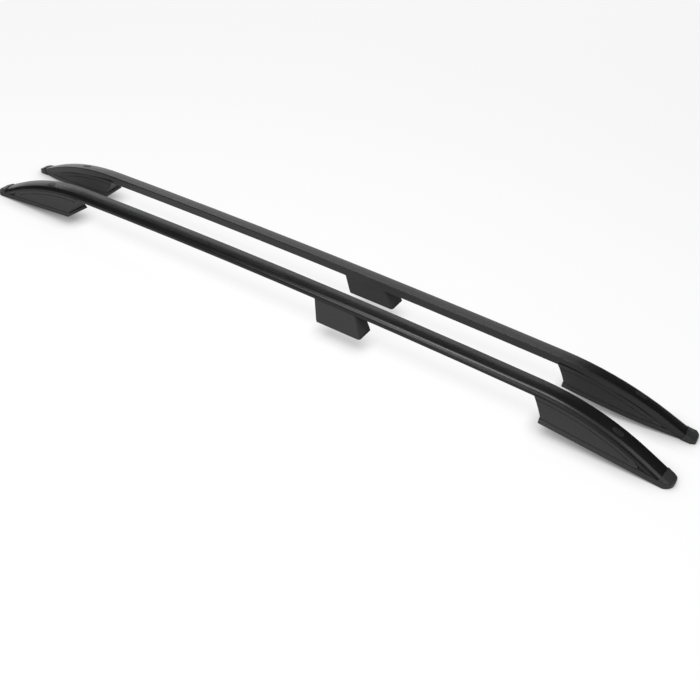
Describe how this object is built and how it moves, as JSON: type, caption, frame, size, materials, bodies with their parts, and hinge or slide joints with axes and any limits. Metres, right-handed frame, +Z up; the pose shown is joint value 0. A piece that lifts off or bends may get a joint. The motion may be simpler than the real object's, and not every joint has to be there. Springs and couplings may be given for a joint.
{
  "type": "roof side rail pair",
  "caption": "Pair of arched black roof side rails, each a hollow bar sharp along its inner edge, on long end feet with nose caps and a raked centre foot.",
  "frame": {"origin": "middle of the pair's bounding box, on the floor that the nose tips rest on", "axes": "+X along the rails to the front end, +Y to the left rail, +Z up"},
  "size_m": [2, 0.208, 0.1079],
  "materials": {
    "bar_coat": "satin black powder coat on an aluminium extrusion",
    "foot_plastic": "matt charcoal moulding",
    "sole_plastic": "matt charcoal moulding",
    "plug_plastic": "matt black moulding",
    "pad_rubber": "black rubber",
    "support_alloy": "as-cast aluminium",
    "screw_steel": "zinc-plated steel"
  },
  "bodies": {
    "root": {"left_rail_bar": "bar_coat", "left_front_foot": "foot_plastic", "left_rear_foot": "foot_plastic", "left_front_sole": "sole_plastic", "left_rear_sole": "sole_plastic", "left_front_plug": "plug_plastic", "left_rear_plug": "plug_plastic", "left_centre_foot": "foot_plastic", "left_centre_pad": "pad_rubber", "left_front_support": "support_alloy", "left_rear_support": "support_alloy", "left_centre_support": "support_alloy", "left_front_screws": "screw_steel", "left_rear_screws": "screw_steel", "left_centre_screws": "screw_steel", "right_rail_bar": "bar_coat", "right_front_foot": "foot_plastic", "right_rear_foot": "foot_plastic", "right_front_sole": "sole_plastic", "right_rear_sole": "sole_plastic", "right_front_plug": "plug_plastic", "right_rear_plug": "plug_plastic", "right_centre_foot": "foot_plastic", "right_centre_pad": "pad_rubber", "right_front_support": "support_alloy", "right_rear_support": "support_alloy", "right_centre_support": "support_alloy", "right_front_screws": "screw_steel", "right_rear_screws": "screw_steel", "right_centre_screws": "screw_steel"}
  },
  "joints": []
}
